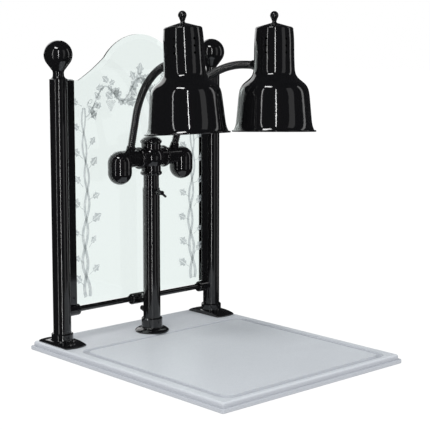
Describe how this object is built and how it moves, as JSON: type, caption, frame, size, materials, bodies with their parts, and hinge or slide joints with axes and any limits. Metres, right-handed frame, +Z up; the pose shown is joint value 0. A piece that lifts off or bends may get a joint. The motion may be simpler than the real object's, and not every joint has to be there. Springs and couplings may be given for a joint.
{
  "type": "heat lamp warmer",
  "caption": "Carving station: juice-groove board, arched glass guard between ball-topped posts, and bell-shaded heat lamps on bent necks over it.",
  "frame": {"origin": "centre of the underside of the feet, which is the centre of the board's outline", "axes": "+Z up, -Y towards the carver at the front, +Y towards the glass guard, +X to the right seen from the front"},
  "size_m": [0.508, 0.61, 0.7258],
  "materials": {
    "board": "satin solid-surface slab",
    "enamel": "gloss black enamel",
    "shade_enamel": "gloss black enamel on spun aluminium",
    "neck_metal": "semi-gloss black, ribbed",
    "guard_glass": "clear, bevelled and etched",
    "clear_pad": "clear soft vinyl",
    "rubber": "matte",
    "steel": "blackened",
    "black_plastic": "fine satin",
    "brass": "turned",
    "ceramic": "glazed porcelain",
    "bulb_glass": "frosted reflector",
    "bulb_cap": "rolled thread"
  },
  "bodies": {
    "base": {"base_board": "board", "rubber_feet": "rubber", "flange_bolts": "steel", "flange_set_screws": "steel", "glass_panel": "guard_glass", "glass_seat_pads": "clear_pad", "channel_set_screws": "steel", "lower_rail": "enamel", "rail_clamp": "enamel", "rail_set_screws": "steel", "centre_post_flange": "enamel", "centre_post_tube": "enamel", "thumb_boss": "enamel", "cord_gland": "black_plastic", "left_post_flange": "enamel", "left_post_tube": "enamel", "left_ball_finial": "enamel", "left_glass_channel": "enamel", "left_rail_socket": "enamel", "right_post_flange": "enamel", "right_post_tube": "enamel", "right_ball_finial": "enamel", "right_glass_channel": "enamel", "right_rail_socket": "enamel"},
    "thumb": {"thumb_screw": "enamel"},
    "stem": {"stem_tube": "enamel"},
    "head": {"cross_fitting": "enamel", "cross_set_screws": "steel", "cross_top_cap": "enamel", "left_cross_arm": "enamel", "left_end_ball": "enamel", "left_neck_seat": "enamel", "right_cross_arm": "enamel", "right_end_ball": "enamel", "right_neck_seat": "enamel"},
    "left_arm": {"left_neck_nut": "enamel", "left_neck": "neck_metal"},
    "left_lamp": {"left_neck_ferrule": "enamel", "left_shade": "shade_enamel", "left_shade_cap": "shade_enamel", "left_shade_knob": "shade_enamel", "left_socket_nipple": "brass", "left_socket": "ceramic"},
    "left_lamp_bulb": {"left_bulb": "bulb_glass", "left_bulb_base": "bulb_cap"},
    "right_arm": {"right_neck_nut": "enamel", "right_neck": "neck_metal"},
    "right_lamp": {"right_neck_ferrule": "enamel", "right_shade": "shade_enamel", "right_shade_cap": "shade_enamel", "right_shade_knob": "shade_enamel", "right_socket_nipple": "brass", "right_socket": "ceramic"},
    "right_lamp_bulb": {"right_bulb": "bulb_glass", "right_bulb_base": "bulb_cap"}
  },
  "joints": [
    {"name": "head_lift", "type": "slide", "parent": "base", "child": "stem", "axis": [0, 0, 1], "range_m": [-0.025, 0.1]},
    {"name": "clamp_screw_turn", "type": "hinge", "parent": "base", "child": "thumb", "pos_m": [0, 0.1994, 0.335], "axis": [0, -1, 0], "continuous": true},
    {"name": "head_swivel", "type": "hinge", "parent": "stem", "child": "head", "pos_m": [0, 0.1994, 0.411], "axis": [0, 0, 1], "range_deg": [-5, 5]},
    {"name": "left_neck_swing", "type": "hinge", "parent": "head", "child": "left_arm", "pos_m": [-0.061, 0.1994, 0.411], "axis": [-0.037, -0.29, 0.9563], "range_deg": [-30, 0]},
    {"name": "left_neck_bend", "type": "hinge", "parent": "left_arm", "child": "left_lamp", "pos_m": [-0.0705, 0.12501, 0.57691], "axis": [0.9919, -0.1267, 0], "range_deg": [-8, 15], "deforming": ["left_neck"]},
    {"name": "left_bulb_turn", "type": "hinge", "parent": "left_lamp", "child": "left_lamp_bulb", "pos_m": [-0.08808, -0.01235, 0.62602], "axis": [0.02, 0.0866, 0.996], "continuous": true},
    {"name": "right_neck_swing", "type": "hinge", "parent": "head", "child": "right_arm", "pos_m": [0.061, 0.1994, 0.411], "axis": [0.0272, -0.2911, 0.9563], "range_deg": [0, 30]},
    {"name": "right_neck_bend", "type": "hinge", "parent": "right_arm", "child": "right_lamp", "pos_m": [0.06953, 0.10802, 0.57597], "axis": [0.9957, 0.0929, 0], "range_deg": [-15, 8], "deforming": ["right_neck"]},
    {"name": "right_bulb_turn", "type": "hinge", "parent": "right_lamp", "child": "right_lamp_bulb", "pos_m": [0.08855, -0.08939, 0.62597], "axis": [0.0525, 0.0583, 0.9969], "continuous": true}
  ]
}
